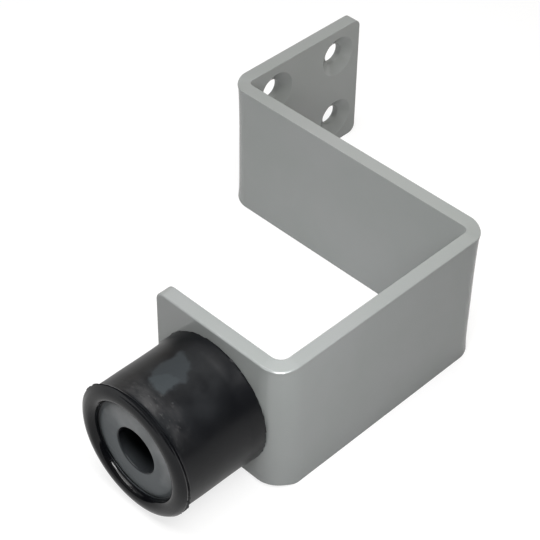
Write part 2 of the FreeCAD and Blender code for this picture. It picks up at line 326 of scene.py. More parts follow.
def hole_tree(material, sizes):
    """Four countersunk wall holes on a grid, and the plain hole for the buffer's screw."""
    tree, given = new_tree("drilled_blank", sizes)
    upright = (math.radians(-90), 0.0, 0.0)
    spots = add(tree, "GeometryNodeMeshGrid", {
        "Size X": given["Spacing Along"], "Size Y": given["Spacing Up"],
        "Vertices X": 2, "Vertices Y": 2})
    middle = add(tree, "ShaderNodeMath", (given["Spacing Along"], 0.5, given["End Distance"]),
                 operation="MULTIPLY_ADD")
    half = add(tree, "ShaderNodeMath", (given["Thickness"], 0.5), operation="MULTIPLY")
    place = add(tree, "ShaderNodeCombineXYZ", {"X": middle, "Y": half})
    spots = add(tree, "GeometryNodeTransform", {
        "Geometry": spots.outputs["Mesh"], "Translation": place, "Rotation": upright})
    drill_length = add(tree, "ShaderNodeMath", (given["Thickness"], 3.0), operation="MULTIPLY")
    drill = add(tree, "GeometryNodeMeshCylinder", {
        "Vertices": HOLE_SIDES, "Radius": given["Hole Radius"], "Depth": drill_length})
    slope = add(tree, "ShaderNodeMath", (given["Countersink Radius"], given["Hole Radius"]),
                operation="SUBTRACT")
    slope = add(tree, "ShaderNodeMath", (slope, given["Countersink Depth"]), operation="DIVIDE")
    wide = add(tree, "ShaderNodeMath", (slope, CUTTER_OVERSHOOT, given["Countersink Radius"]),
               operation="MULTIPLY_ADD")
    deep = add(tree, "ShaderNodeMath", (given["Countersink Depth"], CUTTER_OVERSHOOT), operation="ADD")
    cone = add(tree, "GeometryNodeMeshCone", {
        "Vertices": HOLE_SIDES, "Radius Top": wide, "Radius Bottom": given["Hole Radius"],
        "Depth": deep})
    seat = add(tree, "ShaderNodeMath", (half, given["Countersink Depth"]), operation="SUBTRACT")
    lift = add(tree, "ShaderNodeCombineXYZ", {"Z": seat})
    cone = add(tree, "GeometryNodeTransform", {"Geometry": cone.outputs["Mesh"], "Translation": lift})
    cutters = []
    for tool in (drill.outputs["Mesh"], cone.outputs[0]):
        spread = add(tree, "GeometryNodeInstanceOnPoints", {
            "Points": spots, "Instance": tool, "Rotation": upright})
        cutters.append(add(tree, "GeometryNodeRealizeInstances", {"Geometry": spread}))
    place = add(tree, "ShaderNodeCombineXYZ", {
        "X": given["Screw Hole Along"], "Y": half, "Z": given["Screw Hole Up"]})
    drill = add(tree, "GeometryNodeMeshCylinder", {
        "Vertices": HOLE_SIDES, "Radius": given["Screw Hole Radius"], "Depth": drill_length})
    cutters.append(add(tree, "GeometryNodeTransform", {
        "Geometry": drill.outputs["Mesh"], "Translation": place, "Rotation": upright}))
    drilled = given["Geometry"]
    for cutter in cutters:
        drilled = add(tree, "GeometryNodeMeshBoolean", {"Mesh 1": drilled, "Mesh 2": cutter},
                      operation="DIFFERENCE", solver="EXACT").outputs["Mesh"]
    end_tree(tree, drilled, material)
    return tree


def bend_share(along, index):
    """How far along a bend's turn a place is, from 0 to 1, and its share of the bend's stretch."""
    share = (along - BEND_STARTS[index]) / BEND_STRETCH
    return np.clip((share - BEND_LEAD) / (1 - 2 * BEND_LEAD), 0, 1), share


def bent_side(corners, reaches, radii, along):
    """Plan position of one side of the bar. radii holds each bend's radius at every point."""
    corners = np.array(corners, float)
    headings = np.diff(corners, axis=0)
    headings /= np.linalg.norm(headings, axis=1)[:, None]
    place = corners[0] + along[:, None] * headings[0]
    for index in range(3):
        corner, into, out = corners[index + 1], headings[index], headings[index + 1]
        reach, radius = reaches[index], radii[index][:, None]
        turn, share = bend_share(along, index)
        angle = turn[:, None] * math.pi / 2
        on_arc = corner + radius * (into * (np.sin(angle) - 1) + out * (1 - np.cos(angle)))
        lead_in = np.clip(share / BEND_LEAD, None, 1)[:, None]
        lead_out = np.clip((share - 1 + BEND_LEAD) / BEND_LEAD, 0, 1)[:, None]
        slack = reach - radius
        bent = on_arc - into * slack * (1 - lead_in) + out * slack * lead_out
        past = corner + out * (reach + along - BEND_STARTS[index] - BEND_STRETCH)[:, None]
        place = np.where((share > 0)[:, None], np.where((share < 1)[:, None], bent, past), place)
    return place


def bend(mesh):
    """Bend the flat blank: each point keeps its share of the thickness between the two sides."""
    points = np.zeros(len(mesh.vertices) * 3)
    mesh.vertices.foreach_get("co", points)
    along, depth, up = points.reshape(-1, 3).T
    flare_width = np.where(up > 0, FLARE_WIDTH_TOP, FLARE_WIDTH_BOTTOM)
    flare = np.clip((np.abs(up) - HALF_WIDTH) / flare_width + 1, 0, 1) ** FLARE_CURVE
    edge = np.clip((np.abs(up) - HALF_WIDTH) / DIP_WIDTH + 1, 0, 1) ** 2
    outer = BEND_OUTER_MID + (BEND_OUTER_EDGE - BEND_OUTER_MID) * flare
    outer = outer - FLARE_LIP * np.exp(-((HALF_WIDTH - up) / FLARE_LIP_WIDTH) ** 2)
    inner = [np.full_like(up, radius) for radius in BEND_INNER]
    back, front = BAR_LOW.y + BAR_THICKNESS, BAR_LOW.y
    wall_side = [(BAR_HIGH.x, 0), (ARM_X, 0), (ARM_X, back),
                 (BAR_LOW.x + BAR_THICKNESS, back), (BAR_LOW.x + BAR_THICKNESS, 0)]
    room_side = [(BAR_HIGH.x, -BAR_THICKNESS), (ARM_X + BAR_THICKNESS, -BAR_THICKNESS),
                 (ARM_X + BAR_THICKNESS, front), (BAR_LOW.x, front), (BAR_LOW.x, 0)]
    wide, tight = BEND_REACH_OUTER, BEND_REACH_INNER
    walls = bent_side(wall_side, (wide, tight, tight), (outer, inner[1], inner[2]), along)
    rooms = bent_side(room_side, (tight, wide, wide), (inner[0], outer, outer), along)
    turn, _ = bend_share(along, 2)
    into, down = math.cos(PRESSED_LEAN), math.sin(PRESSED_LEAN)
    proud = np.clip((depth - BAR_THICKNESS) * into + (up - HALF_WIDTH + OUTER_ROUNDING) * down, 0, None)
    proud = np.where(depth > BAR_THICKNESS - OUTER_ROUNDING - NEAR, proud, 0)
    pressed = PRESSED_EDGE * proud * np.clip((turn - PRESSED_START) / PRESSED_FADE_IN, 0, 1)
    pressed = pressed * np.clip((1 - turn) / PRESSED_FADE_OUT, 0, 1)
    depth, up = depth - pressed * into, up - pressed * down
    share = (depth / BAR_THICKNESS)[:, None]
    plan = walls * (1 - share) + rooms * share
    outside = (1 - share[:, 0], share[:, 0], share[:, 0])
    for index in range(3):
        turn, _ = bend_share(along, index)
        dip = np.where(up > 0, BEND_DIP_TOP[index], BEND_DIP_BOTTOM[index])
        up = up - np.sign(up) * dip * edge * outside[index] * np.sin(math.pi * turn) ** 2
    turn, _ = bend_share(along, 2)
    risen = np.clip(turn / PLATE_RISE_SHARE, 0, 1)
    risen = risen * risen * (3 - 2 * risen)
    up = np.where(up < 0, up * (1 - PLATE_RISE / HALF_WIDTH * risen), up)
    mesh.vertices.foreach_set("co", np.column_stack((plan, up)).ravel())
    mesh.update()


def soften_edges(piece):
    """Round every edge as the coat does: little, but more on the outer side of the end plate."""
    work = bmesh.new()
    work.from_mesh(piece.data)
    weights = work.edges.layers.float.new("bevel_weight_edge")
    for edge in work.edges:
        if edge.calc_face_angle(0.0) > SHARP_EDGE:
            middle = (edge.verts[0].co + edge.verts[1].co) / 2
            outline = abs(middle.z) > HALF_WIDTH - NEAR or middle.x > BLANK_LENGTH - PLATE_CORNER
            outer = outline and middle.y > BAR_THICKNESS - NEAR
            past = (middle.x - BEND_STARTS[2]) / (ROUNDING_GROWTH * BEND_STRETCH)
            share = min(max(past, 0), 1) if outer else 0
            edge[weights] = (COAT_ROUNDING + (OUTER_ROUNDING - COAT_ROUNDING) * share) / OUTER_ROUNDING
    work.to_mesh(piece.data)
    work.free()
    rounding = piece.modifiers.new("coated_edges", "BEVEL")
    rounding.width = OUTER_ROUNDING
    rounding.segments = 4
    rounding.limit_method = "WEIGHT"
    rounding.use_clamp_overlap = False
    apply_modifiers(piece)


def make_bracket(material):
    sizes = {
        "Thickness": BAR_THICKNESS,
        "End Distance": HOLE_END_DISTANCE,
        "Spacing Along": WALL_BOLTS["spacing_x_mm"],
        "Spacing Up": WALL_BOLTS["spacing_y_mm"],
        "Hole Radius": HOLE_RADIUS,
        "Countersink Radius": COUNTERSINK_RADIUS,
        "Countersink Depth": COUNTERSINK_DEPTH,
        "Screw Hole Radius": SCREW_HOLE_RADIUS,
        "Screw Hole Along": BLANK_LENGTH - (BAR_LOW.y + PLATE_LENGTH - AXIS_Y),
        "Screw Hole Up": AXIS_Z,
    }
    piece = new_piece("bent_bar", flat_blank())
    grow(piece, hole_tree(material, sizes), sizes)
    tidy_mesh(piece.data)
    soften_edges(piece)
    bend(piece.data)
    tidy_mesh(piece.data)
    weigh_normals(piece)
    piece.data.transform(Matrix.Scale(MM, 4))
    settle(piece, "grey_powder_coat", "bracket")


# Turned and moulded pieces


def turned(tree, radius, turn, height):
    """Place at a radius and a height, at a turn about Z."""
    place = {"Z": height}
    for axis, operation in (("X", "COSINE"), ("Y", "SINE")):
        share = add(tree, "ShaderNodeMath", (turn,), operation=operation)
        place[axis] = add(tree, "ShaderNodeMath", (radius, share), operation="MULTIPLY")
    return add(tree, "ShaderNodeCombineXYZ", place)


def lathe_tree(name, material, sizes, shape):
    """Tree that turns a profile about Z. The profile is a row of points: x is the radius, z the height.

    shape is called with the tree, its inputs, the turn angle, the height and a sampler for the profile's
    own point values, and returns what to add to the radius and to the height.
    """
    tree, given = new_tree(name, sizes)
    columns = add(tree, "ShaderNodeMath", (given["Segments"], 1), operation="ADD")
    grid = add(tree, "GeometryNodeMeshGrid", {"Vertices X": given["Rows"], "Vertices Y": columns})
    index = add(tree, "GeometryNodeInputIndex")
    half_past = add(tree, "ShaderNodeMath", (index, 0.5), operation="ADD")
    rows = add(tree, "ShaderNodeMath", (half_past, columns), operation="DIVIDE")
    row = add(tree, "ShaderNodeMath", (rows,), operation="FLOOR")
    before = add(tree, "ShaderNodeMath", (row, columns), operation="MULTIPLY")
    column = add(tree, "ShaderNodeMath", (index, before), operation="SUBTRACT")
    wrapped = add(tree, "ShaderNodeMath", (row, given["Points"]), operation="FLOORED_MODULO")

    def sampled(value, kind):
        return add(tree, "GeometryNodeSampleIndex", {
            "Geometry": given["Geometry"], "Value": value, "Index": wrapped},
            data_type=kind).outputs["Value"]

    def own(label):
        mark = add(tree, "GeometryNodeInputNamedAttribute", {"Name": label}, data_type="FLOAT")
        return sampled(mark, "FLOAT")

    at = add(tree, "ShaderNodeSeparateXYZ", {
        "Vector": sampled(add(tree, "GeometryNodeInputPosition"), "FLOAT_VECTOR")})
    share = add(tree, "ShaderNodeMath", (column, given["Segments"]), operation="DIVIDE")
    turn = add(tree, "ShaderNodeMath", (share, 2 * math.pi), operation="MULTIPLY")
    wider, higher = shape(tree, given, turn, at.outputs["Z"], own)
    radius = add(tree, "ShaderNodeMath", (at.outputs["X"], wider), operation="ADD")
    height = add(tree, "ShaderNodeMath", (at.outputs["Z"], higher), operation="ADD")
    placed = add(tree, "GeometryNodeSetPosition", {
        "Geometry": grid.outputs["Mesh"], "Position": turned(tree, radius, turn, height)})
    end_tree(tree, placed, material)
    return tree


def lathe(name, points, marks, material, sizes, shape):
    """Piece turned from a row of profile points. Each mark has a value for every point."""
    mesh = bpy.data.meshes.new(name)
    mesh.from_pydata([(r, 0, h) for r, h in points], [], [])
    for label, values in marks.items():
        mesh.attributes.new(label, "FLOAT", "POINT").data.foreach_set("value", values)
    piece = new_piece(name, mesh)
    grow(piece, lathe_tree(name, material, sizes, shape), sizes)
    tidy_mesh(piece.data)
    return piece


def on_buffer_axis(mesh, height):
    """Stand a piece made about Z on the buffer's axis: its Z points away from the plate."""
    away = Matrix.Rotation(math.radians(-90), 4, "Y")
    mesh.transform(Matrix.Translation((PLATE_FACE - height, AXIS_Y, AXIS_Z)) @ away)
    mesh.transform(Matrix.Scale(MM, 4))


def arc(centre, radius, first, last, steps):
    """Points on an arc, with its angles in degrees from the radius direction."""
    angles = [math.radians(first + (last - first) * step / steps) for step in range(steps + 1)]
    return [(centre[0] + radius * math.cos(a), centre[1] + radius * math.sin(a)) for a in angles]


def curve_through(controls, steps):
    """Smooth curve through profile points, Catmull-Rom, with the ends repeated."""
    knots = [controls[0], *controls, controls[-1]]
    points = []
    for a, b, c, d in zip(knots, knots[1:], knots[2:], knots[3:]):
        for step in range(steps):
            t = step / steps
            points.append(tuple(
                0.5 * (2 * q + (r - p) * t + (2 * p - 5 * q + 4 * r - s) * t * t
                       + (3 * q - p - 3 * r + s) * t ** 3)
                for p, q, r, s in zip(a, b, c, d)))
    return points + [controls[-1]]


# Half section of the buffer's side, from its foot at the plate nearly to the mould's parting line.
SIDE_SECTION = [(17.72, 0.35), (17.70, 2.0), (17.60, 3.5), (17.46, 5.0), (17.40, 7.5), (17.38, 11.0),
                (17.38, 14.0), (17.38, 17.0), (17.36, 19.2), (17.32, 21.0), (17.32, 22.8), (17.36, 24.1)]
PARTING_HEIGHT = 24.75
# The lip's round top, in section: a wide curve outside its crest, a tighter one down to the end face.
CREST_RADIUS = 15.14
CREST_LEVEL = CREST_HEIGHT - 0.12
LIP_OUTER_ROUNDING = 3.47
LIP_INNER_RADIUS = 13.2
LIP_INNER_ROUNDING = 1.78
BORE_MOUTH_ROUNDING = 0.5
# A shallow groove runs round the end face inside the lip: distance from the lip's wall, and depth.
END_GROOVE = ((0.0, 0.1), (-0.04, 0.3), (-0.22, 0.42), (-0.55, 0.34), (-1.1, 0.12), (-1.9, 0.02),
              (-2.6, 0.0))
# The slant of the parting line starts at this height and fades out this far above the line.
SLANT_START = 17.0
SLANT_FADE = 1.5
BUFFER_SIDES = 320
# Radius at which the noise that wears the flash is taken.
FLASH_RADIUS = 17.5


def rubber_section():
    """Closed half section of the buffer, with each point's share in four faults of the moulding.

    flash is the fin of rubber squeezed into the parting line, slant is how far the parting line is out
    of square, and lean is how far the lip was pushed over when the warm buffer was pulled out. nick is
    the torn edge of the foot.
    """
    points, flash, slant, lean, nick = [], [], [], [], []

    def put(stretch, fin=0.0, outside=True, torn=0.0):
        for radius, height in stretch:
            below = max(0.0, (height - SLANT_START) / (PARTING_HEIGHT - SLANT_START)) ** 2
            above = max(0.0, 1 - (height - PARTING_HEIGHT) / SLANT_FADE)
            points.append((radius, height))
            flash.append(fin)
            nick.append(torn)
            slant.append(min(below, above) if outside else 0.0)
            lean.append(max(0.0, height / DISC_HEIGHT) ** 3 if outside else 0.0)

    put([(SCREW_HOLE_RADIUS, 0.0), (10.0, 0.0), (16.6, 0.0), (17.4, 0.0)])
    put([(17.62, 0.06)], 0.35, torn=0.6)
    put([(17.72, 0.14), (17.73, 0.22)], 0.35, torn=1.0)
    put(curve_through(SIDE_SECTION, 5))
    put([(17.42, PARTING_HEIGHT - 0.36), (17.5, PARTING_HEIGHT - 0.2)], 0.1)
    put([(17.74, PARTING_HEIGHT - 0.06), (17.76, PARTING_HEIGHT + 0.02)], 1.0)
    put([(17.6, PARTING_HEIGHT + 0.14)], 0.25)
    put([(17.66, PARTING_HEIGHT + 0.3)], 0.1)
    put(arc((CREST_RADIUS, CREST_LEVEL - LIP_OUTER_ROUNDING), LIP_OUTER_ROUNDING, 38, 90, 16))
    inner_middle = (LIP_INNER_RADIUS + LIP_INNER_ROUNDING, CREST_LEVEL - LIP_INNER_ROUNDING)
    put(arc(inner_middle, LIP_INNER_ROUNDING, 90, 176, 18))
    groove = [(LIP_INNER_RADIUS + off, DISC_HEIGHT - fall) for off, fall in END_GROOVE]
    put(curve_through(groove, 4), outside=False)
    put([(9.5, DISC_HEIGHT), (8.0, DISC_HEIGHT)], outside=False)
    mouth = BORE_MOUTH_ROUNDING
    put(arc((BORE_RADIUS + mouth, DISC_HEIGHT - mouth), mouth, 90, 180, 8), outside=False)
    put([(BORE_RADIUS, height) for height in (22.0, 18.0, 14.0, 10.0)], outside=False)
    put([(BORE_RADIUS, BORE_FLOOR), (SCREW_HOLE_RADIUS, BORE_FLOOR), (SCREW_HOLE_RADIUS, 3.0)],
        outside=False)
    return points, {"flash": flash, "slant": slant, "lean": lean, "nick": nick}


def make_rubber_buffer(material):
    """Moulded buffer: turned from its half section, then made as uneven as a cheap moulding is."""
    points, marks = rubber_section()
    sizes = {
        "Points": len(points),
        "Rows": len(points) + 1,
        "Segments": BUFFER_SIDES,
        "Flash Reach": 0.42,
        "Flash Grain": 1.4,
        "Flash Towards": 1.1,
        "Slant": 0.75,
        "Slant Towards": 0.35,
        "Lean": 0.28,
        "Lean Towards": -0.2,
        "Ripple": 0.05,
        "Nick": 0.9,
    }

    def shape(tree, given, turn, height, own):
        def swing(towards, times=1.0):
            off = add(tree, "ShaderNodeMath", (turn, towards), operation="SUBTRACT")
            off = add(tree, "ShaderNodeMath", (off, times), operation="MULTIPLY")
            return add(tree, "ShaderNodeMath", (off,), operation="COSINE")

        spot = turned(tree, FLASH_RADIUS, turn, height)
        grain = add(tree, "ShaderNodeMath", (1.0, given["Flash Grain"]), operation="DIVIDE")
        fine = add(tree, "ShaderNodeTexNoise", {"Vector": spot, "Scale": grain, "Detail": 3.0})
        ragged = add(tree, "ShaderNodeMapRange", {
            "Value": fine.outputs[0], "From Min": 0.35, "From Max": 0.62, "To Min": 0.25})
        corners = add(tree, "ShaderNodeMapRange", {
            "Value": swing(given["Flash Towards"], 2.0), "From Min": 0.2, "To Min": 0.2})
        fin = ragged
        for factor in (corners, given["Flash Reach"], own("flash")):
            fin = add(tree, "ShaderNodeMath", (fin, factor), operation="MULTIPLY")
        torn = add(tree, "ShaderNodeMath", (fine.outputs[0], 0.6), operation="SUBTRACT")
        torn = add(tree, "ShaderNodeMath", (torn, given["Nick"]), operation="MULTIPLY")
        fin = add(tree, "ShaderNodeMath", (torn, own("nick"), fin), operation="MULTIPLY_ADD")
        lean = add(tree, "ShaderNodeMath", (swing(given["Lean Towards"]), given["Lean"]),
                   operation="MULTIPLY")
        wave = add(tree, "ShaderNodeTexNoise", {"Vector": spot, "Scale": 0.12, "Detail": 1.0})
        wave = add(tree, "ShaderNodeMath", (wave.outputs[0], 0.5), operation="SUBTRACT")
        uneven = add(tree, "ShaderNodeMath", (wave, given["Ripple"], lean), operation="MULTIPLY_ADD")
        wider = add(tree, "ShaderNodeMath", (uneven, own("lean"), fin), operation="MULTIPLY_ADD")
        slant = add(tree, "ShaderNodeMath", (swing(given["Slant Towards"]), given["Slant"]),
                    operation="MULTIPLY")
        return wider, add(tree, "ShaderNodeMath", (slant, own("slant")), operation="MULTIPLY")

    piece = lathe("moulded_buffer", points, marks, material, sizes, shape)
    piece.data.shade_smooth()
    piece.data.set_sharp_from_angle(angle=math.radians(50))
    on_buffer_axis(piece.data, 0.0)
    settle(piece, "black_rubber", "rubber_buffer")


# The cap screw.
SCREW_HEAD_RADIUS = 5.0
SCREW_HEAD_HEIGHT = 6.0
SCREW_RADIUS = 3.0
THREAD_PITCH = 1.0
THREAD_DEPTH = 0.5
THREAD_LENGTH = 11.0
# Rows of points for each turn of the thread, and how far the tip's chamfer reaches up it.
THREAD_ROWS = 12
TIP_CHAMFER = 0.8
KNURL_COUNT = 36
KNURL_START = 0.6
KNURL_LENGTH = 4.6
KNURL_ROWS = 8
HEAD_ROUNDING = 0.5
SOCKET_FLATS = 5.0
SOCKET_DEPTH = 3.0


def screw_section():
    """Half section of the cap screw from its tip to the top of its head, with its thread and knurl."""
    seat = PLATE_FACE - SCREW_LOW.x - SCREW_HEAD_HEIGHT
    tip = PLATE_FACE - SCREW_HIGH.x - seat
    points, thread, knurl = [], [], []

    def put(stretch, threaded=0.0, knurled=0.0):
        points.extend(stretch)
        thread.extend([threaded] * len(stretch))
        knurl.extend([knurled] * len(stretch))

    put([(0.0, tip), (SCREW_RADIUS - 0.85, tip), (SCREW_RADIUS - 0.7, tip + 0.04)])
    rows = int(THREAD_LENGTH / THREAD_PITCH * THREAD_ROWS)
    for row in range(rows):
        height = tip + 0.1 + THREAD_LENGTH * row / rows
        chamfer = min(0.0, (height - tip) - TIP_CHAMFER)
        put([(SCREW_RADIUS + chamfer * 0.8, height)], threaded=1.0 if chamfer == 0 else 0.6)
    put([(SCREW_RADIUS, tip + THREAD_LENGTH + 0.6), (SCREW_RADIUS, -0.3)])
    put([(SCREW_RADIUS + 0.25, 0.0), (SCREW_HEAD_RADIUS - 0.3, 0.0), (SCREW_HEAD_RADIUS - 0.1, 0.08)])
    put([(SCREW_HEAD_RADIUS, 0.3)])
    knurled_rows = [KNURL_START + KNURL_LENGTH * row / KNURL_ROWS for row in range(KNURL_ROWS + 1)]
    put([(SCREW_HEAD_RADIUS, height) for height in knurled_rows], knurled=1.0)
    rounding = HEAD_ROUNDING
    put(arc((SCREW_HEAD_RADIUS - rounding, SCREW_HEAD_HEIGHT - rounding), rounding, 0, 90, 6))
    put([(3.6, SCREW_HEAD_HEIGHT), (0.0, SCREW_HEAD_HEIGHT)])
    return points, {"thread": thread, "knurl": knurl}


def make_cap_screw(material):
    """Zinc-plated cap screw with a rolled thread, a knurled head and a hexagon socket."""
    points, marks = screw_section()
    sizes = {
        "Points": len(points),
        "Rows": len(points),
        "Segments": KNURL_COUNT * 6,
        "Thread Pitch": THREAD_PITCH,
        "Thread Depth": THREAD_DEPTH,
        "Knurl Count": float(KNURL_COUNT),
        "Knurl Depth": 0.18,
    }

    def shape(tree, given, turn, height, own):
        turns = add(tree, "ShaderNodeMath", (turn, 2 * math.pi), operation="DIVIDE")
        pitches = add(tree, "ShaderNodeMath", (height, given["Thread Pitch"]), operation="DIVIDE")
        rise = add(tree, "ShaderNodeMath", (pitches, turns), operation="SUBTRACT")
        groove = add(tree, "ShaderNodeMath", (rise, 0.5), operation="PINGPONG")
        groove = add(tree, "ShaderNodeMath", (groove, given["Thread Depth"]), operation="MULTIPLY")
        groove = add(tree, "ShaderNodeMath", (groove, -2.0), operation="MULTIPLY")
        around = add(tree, "ShaderNodeMath", (turn, given["Knurl Count"]), operation="MULTIPLY")
        wave = add(tree, "ShaderNodeMath", (around,), operation="COSINE")
        wave = add(tree, "ShaderNodeMath", (wave, -0.5, -0.5), operation="MULTIPLY_ADD")
        flute = add(tree, "ShaderNodeMath", (wave, given["Knurl Depth"]), operation="MULTIPLY")
        cut = add(tree, "ShaderNodeMath", (groove, own("thread")), operation="MULTIPLY")
        return add(tree, "ShaderNodeMath", (flute, own("knurl"), cut), operation="MULTIPLY_ADD"), 0.0

    piece = lathe("cap_screw", points, marks, material, sizes, shape)
    socket = bmesh.new()
    reach = SOCKET_FLATS / 2 / math.cos(math.radians(30))
    bmesh.ops.create_cone(
        socket, cap_ends=True, segments=6, radius1=reach, radius2=reach, depth=2 * SOCKET_DEPTH,
        matrix=Matrix.Translation((0, 0, SCREW_HEAD_HEIGHT)))
    cutter = new_piece("socket_cutter", bpy.data.meshes.new("socket_cutter"))
    socket.to_mesh(cutter.data)
    socket.free()
    cut = piece.modifiers.new("hexagon_socket", "BOOLEAN")
    cut.object = cutter
    cut.operation = "DIFFERENCE"
    cut.solver = "EXACT"
    apply_modifiers(piece)
    bpy.data.objects.remove(cutter)
    piece.data.shade_smooth()
    piece.data.set_sharp_from_angle(angle=math.radians(35))
    on_buffer_axis(piece.data, PLATE_FACE - SCREW_LOW.x - SCREW_HEAD_HEIGHT)
    settle(piece, "zinc_plated_steel", "buffer_screw")


def softened(node, name, slot, material, width):
    """Small fastener as the CAD has it, with its edges broken as stamping and plating leave them."""
    piece = new_piece(name, frame["nodes"][node].data.copy())
    piece.data.materials.clear()
    piece.data.materials.append(material)
    piece.data.transform(Matrix.Scale(1 / MM, 4))
    tidy_mesh(piece.data, join_planes=True)
    rounding = piece.modifiers.new("broken_edges", "BEVEL")
    rounding.width = width
    rounding.segments = 2
    rounding.limit_method = "ANGLE"
    rounding.angle_limit = SHARP_EDGE
    apply_modifiers(piece)
    weigh_normals(piece)
    piece.data.transform(Matrix.Scale(MM, 4))
    settle(piece, slot, node)


# Materials


def bare_tree(owner):
    """Empty node tree of a material or world."""
    owner.use_nodes = True
    owner.node_tree.nodes.clear()
    return owner.node_tree


def new_material(name):
    material = bpy.data.materials.new(name)
    tree = bare_tree(material)
    surface = add(tree, "ShaderNodeBsdfPrincipled")
    add(tree, "ShaderNodeOutputMaterial", {"Surface": surface})
    spot = add(tree, "ShaderNodeTexCoord").outputs["Object"]
    return material, tree, surface, spot


def connect(tree, output, surface, name):
    """Link an output, or a node's first one, to an input of the surface."""
    if isinstance(output, bpy.types.Node):
        output = output.outputs[0]
    tree.links.new(output, surface.inputs[name])


def paint(tree, surface, ground, layers):
    """Colour the surface: a ground, and on it layers of other colours, each through its mask."""
    skin = linear(ground)
    for colour, mask in layers:
        skin = add(tree, "ShaderNodeMix", {"Factor": mask, "A": skin, "B": linear(colour)},
                   data_type="RGBA").outputs["Result"]
    connect(tree, skin, surface, "Base Color")


def grainy(tree, spot, size, detail, strength, depth):
    """Fine noise as bumps of this depth in millimetres."""
    noise = add(tree, "ShaderNodeTexNoise", {"Vector": spot, "Scale": 1 / size, "Detail": detail})
    return add(tree, "ShaderNodeBump", {
        "Height": noise, "Strength": strength, "Distance": depth * MM})


def cloudy(tree, spot, size, low, high, least=0.0, most=1.0, detail=2.0):
    """Noise of a grain size, spread so that low in it becomes the least value and high the most."""
    noise = add(tree, "ShaderNodeTexNoise", {"Vector": spot, "Scale": 1 / size, "Detail": detail})
    return add(tree, "ShaderNodeMapRange", {
        "Value": noise, "From Min": low, "From Max": high, "To Min": least, "To Max": most})


def powder_coat():
    """Polyester powder, sprayed on and baked: an even, softly glossy grey with faint orange peel."""
    material, tree, surface, spot = new_material("baked_grey_powder_coat")
    surface.inputs["IOR"].default_value = 1.5
    paint(tree, surface, "8d9190", [("909393", cloudy(tree, spot, 22 * MM, 0.35, 0.65))])
    connect(tree, cloudy(tree, spot, 6 * MM, 0.3, 0.7, 0.09, 0.12), surface, "Roughness")
    connect(tree, grainy(tree, spot, 1.3 * MM, 1.0, 0.2, 0.02), surface, "Normal")
    return material


# Patches of painted softbox reflection on the buffer's upper side, on the side rolled flat: millimetres
# around from the top towards the wall, and height above the plate. Each has its colour.
PAINTED_REFLECTION_PATCHES = (
    ("2a2e31", ((3.6, 6.5), (-1.2, 8.2), (-4.4, 12.4), (-0.6, 19.6), (3.6, 15.6))),
    ("303538", ((2.7, 17.9), (0.2, 14.0), (-3.2, 13.1), (-4.0, 15.2), (-3.9, 18.9), (-1.1, 19.7))),
)


